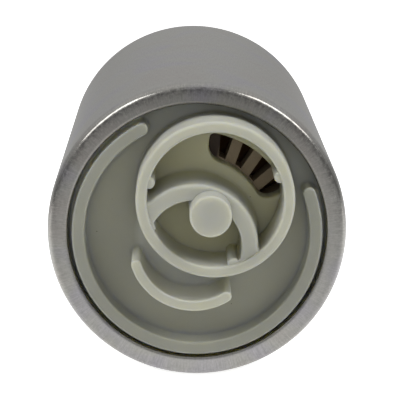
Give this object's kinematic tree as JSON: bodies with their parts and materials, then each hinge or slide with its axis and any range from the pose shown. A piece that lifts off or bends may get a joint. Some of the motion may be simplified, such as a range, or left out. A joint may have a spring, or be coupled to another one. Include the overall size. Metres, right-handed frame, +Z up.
{
  "type": "in-tank fuel pump",
  "caption": "Cylindrical in-tank electric turbine fuel pump: steel shell rolled over a moulded inlet cover with collar and strainer post, hose nipple and blade terminals at the far end.",
  "frame": {"origin": "on the pump's axis, halfway along the shell", "axes": "+Y from the inlet end to the outlet end along the axis, +Z up as the pump lies in the picture, +X to the right as one looks into the inlet end"},
  "size_m": [0.038, 0.0819, 0.038],
  "materials": {
    "plated_steel": "zinc-plated steel, satin, turned at the rolled lip",
    "acetal": "natural acetal, moulded, satin",
    "phenolic": "dark filled moulding",
    "phenolic_wheel": "brown-grey filled moulding",
    "hardened_steel": "ground",
    "bronze": "sintered, oil filled",
    "ferrite": "pressed ferrite, matt",
    "spring_steel": "drawn wire and strip",
    "seal_rubber": "moulded",
    "copper_wire": "enamelled copper wire",
    "copper": "drawn copper",
    "tinned_brass": "tinned brass strip",
    "carbon": "pressed carbon",
    "valve_plastic": "moulded, satin",
    "laminations": "stamped electrical steel"
  },
  "bodies": {
    "casing": {"shell": "plated_steel", "inlet_cover": "acetal", "thrust_button": "hardened_steel", "pump_body": "phenolic", "lower_bush": "bronze", "upper_bush": "bronze", "magnet_left": "ferrite", "magnet_right": "ferrite", "clip_top": "spring_steel", "clip_bottom": "spring_steel", "outlet_cover": "acetal", "seal_ring": "seal_rubber", "choke_left": "copper_wire", "choke_right": "copper_wire", "terminal_left": "tinned_brass", "terminal_right": "tinned_brass", "brush_spring_left": "spring_steel", "brush_spring_right": "spring_steel", "brush_lead_left": "copper_wire", "brush_lead_right": "copper_wire", "check_spring": "spring_steel", "check_retainer": "acetal", "relief_spring": "spring_steel", "relief_plug": "acetal"},
    "rotor": {"shaft": "hardened_steel", "impeller": "phenolic_wheel", "armature_core": "laminations", "windings": "copper_wire", "commutator_hub": "phenolic", "commutator_segment_1": "copper", "commutator_segment_2": "copper", "commutator_segment_3": "copper", "commutator_segment_4": "copper", "commutator_segment_5": "copper", "commutator_segment_6": "copper", "commutator_segment_7": "copper", "commutator_segment_8": "copper"},
    "left_brush": {"brush_left": "carbon"},
    "right_brush": {"brush_right": "carbon"},
    "outlet_valve": {"check_valve": "valve_plastic"},
    "relief_valve": {"relief_ball": "hardened_steel"}
  },
  "joints": [
    {"name": "rotor_spin", "type": "hinge", "parent": "casing", "child": "rotor", "pos_m": [0, 0, 0], "axis": [0, 1, 0], "continuous": true},
    {"name": "left_brush_slide", "type": "slide", "parent": "casing", "child": "left_brush", "axis": [0, 1, 0], "range_m": [0, 0.0015], "stiffness_N_per_m": 80, "springref_m": -0.004, "deforming": ["brush_spring_left", "brush_lead_left"]},
    {"name": "right_brush_slide", "type": "slide", "parent": "casing", "child": "right_brush", "axis": [0, 1, 0], "range_m": [0, 0.0015], "stiffness_N_per_m": 80, "springref_m": -0.004, "deforming": ["brush_spring_right", "brush_lead_right"]},
    {"name": "outlet_valve_lift", "type": "slide", "parent": "casing", "child": "outlet_valve", "axis": [0, 1, 0], "range_m": [0, 0.0014], "stiffness_N_per_m": 40, "springref_m": -0.003, "deforming": ["check_spring"]},
    {"name": "relief_valve_lift", "type": "slide", "parent": "casing", "child": "relief_valve", "axis": [0, 1, 0], "range_m": [0, 0.0012], "stiffness_N_per_m": 120, "springref_m": -0.004, "deforming": ["relief_spring"]}
  ]
}
